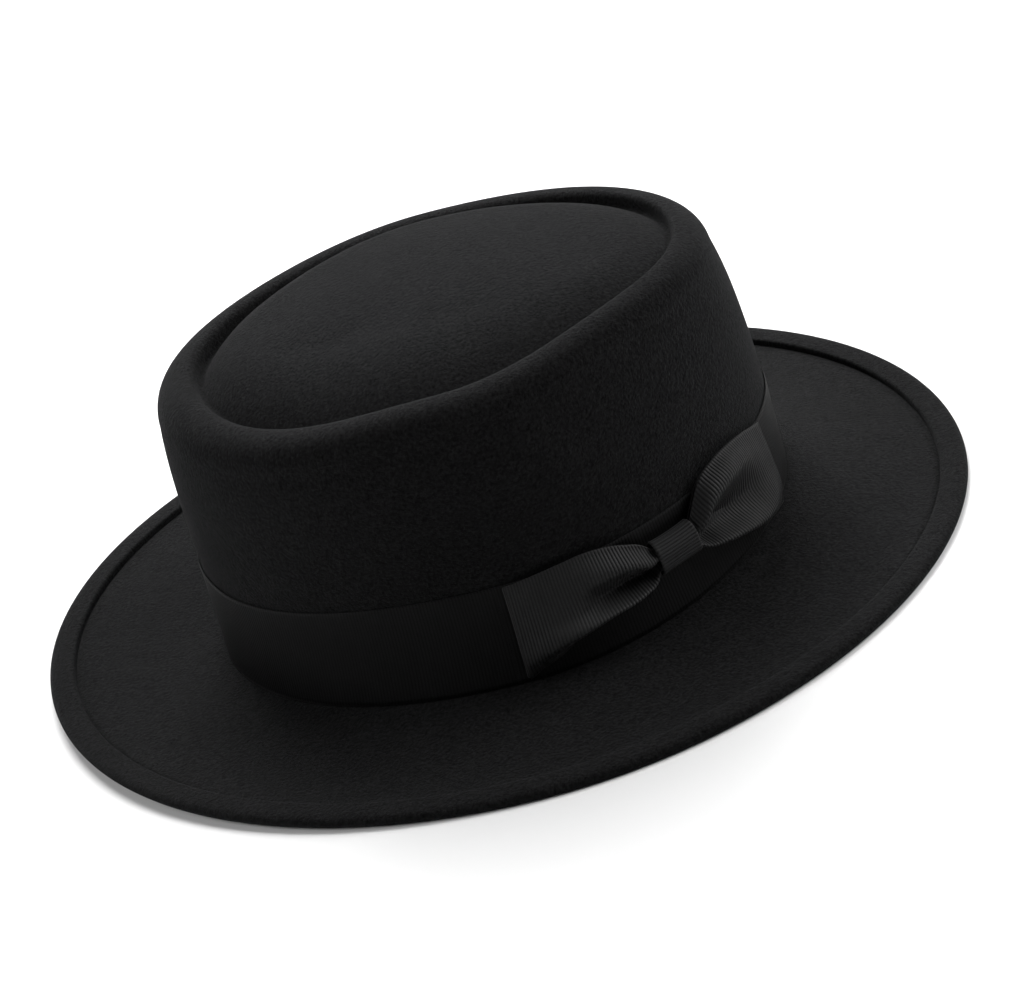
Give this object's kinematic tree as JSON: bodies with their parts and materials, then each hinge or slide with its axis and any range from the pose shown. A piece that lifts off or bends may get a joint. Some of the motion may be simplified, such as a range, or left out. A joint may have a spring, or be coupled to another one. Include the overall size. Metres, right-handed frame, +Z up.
{
  "type": "pork pie hat",
  "caption": "Wool felt hat with a flat telescope crown, a nearly level welted brim, a ribbon band and a flat ribbon bow.",
  "frame": {"origin": "on the surface that the brim rests on, under the middle of the whole hat", "axes": "+Z up, -Y to the front of the hat, +X to the wearer's left, where the bow is"},
  "size_m": [0.287, 0.3346, 0.1184],
  "materials": {
    "felt": "black wool felt, soft short nap",
    "ribbon": "black grosgrain ribbon with fine crosswise ribs"
  },
  "bodies": {
    "root": {"felt_body": "felt", "hat_band": "ribbon", "bow_wing_front": "ribbon", "bow_wing_back": "ribbon", "bow_knot": "ribbon"}
  },
  "joints": []
}
